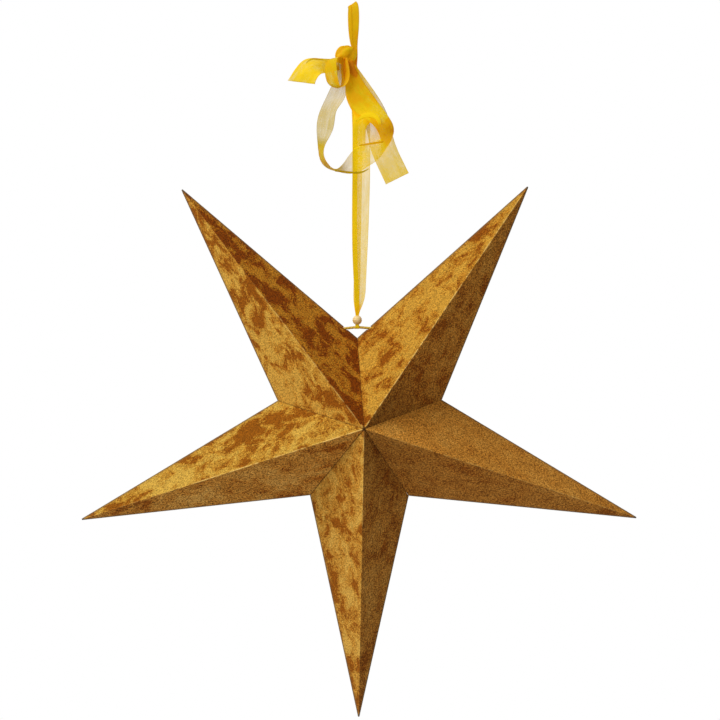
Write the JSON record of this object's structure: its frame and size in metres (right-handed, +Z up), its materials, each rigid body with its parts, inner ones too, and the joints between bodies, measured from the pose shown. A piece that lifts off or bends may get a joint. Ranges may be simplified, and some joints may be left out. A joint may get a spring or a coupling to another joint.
{
  "type": "origami star",
  "caption": "Hanging star of folded velvet-faced card, with deep ridged points tied at the top by a cord, a bead and a bow of sheer ribbon.",
  "frame": {"origin": "inside top of the ribbon's hanging loop, where a hook bears", "axes": "+Z up along the hang, +X to the viewer's right, -Y towards the viewer; the star's middle plane is y = 0"},
  "size_m": [0.6005, 0.17, 0.774],
  "materials": {
    "velvet_card": "crushed golden-brown velvet on folded card, ridges rubbed pale",
    "yellow_cord": "twisted yellow cord",
    "pale_bead": "smooth pale gold bead",
    "organza": "sheer golden-yellow organza"
  },
  "bodies": {
    "root": {"arm_upper_right": "velvet_card", "arm_upper_left": "velvet_card", "arm_lower_left": "velvet_card", "arm_bottom": "velvet_card", "arm_lower_right": "velvet_card", "tie_cord": "yellow_cord", "bead": "pale_bead", "ribbon": "organza"}
  },
  "joints": []
}
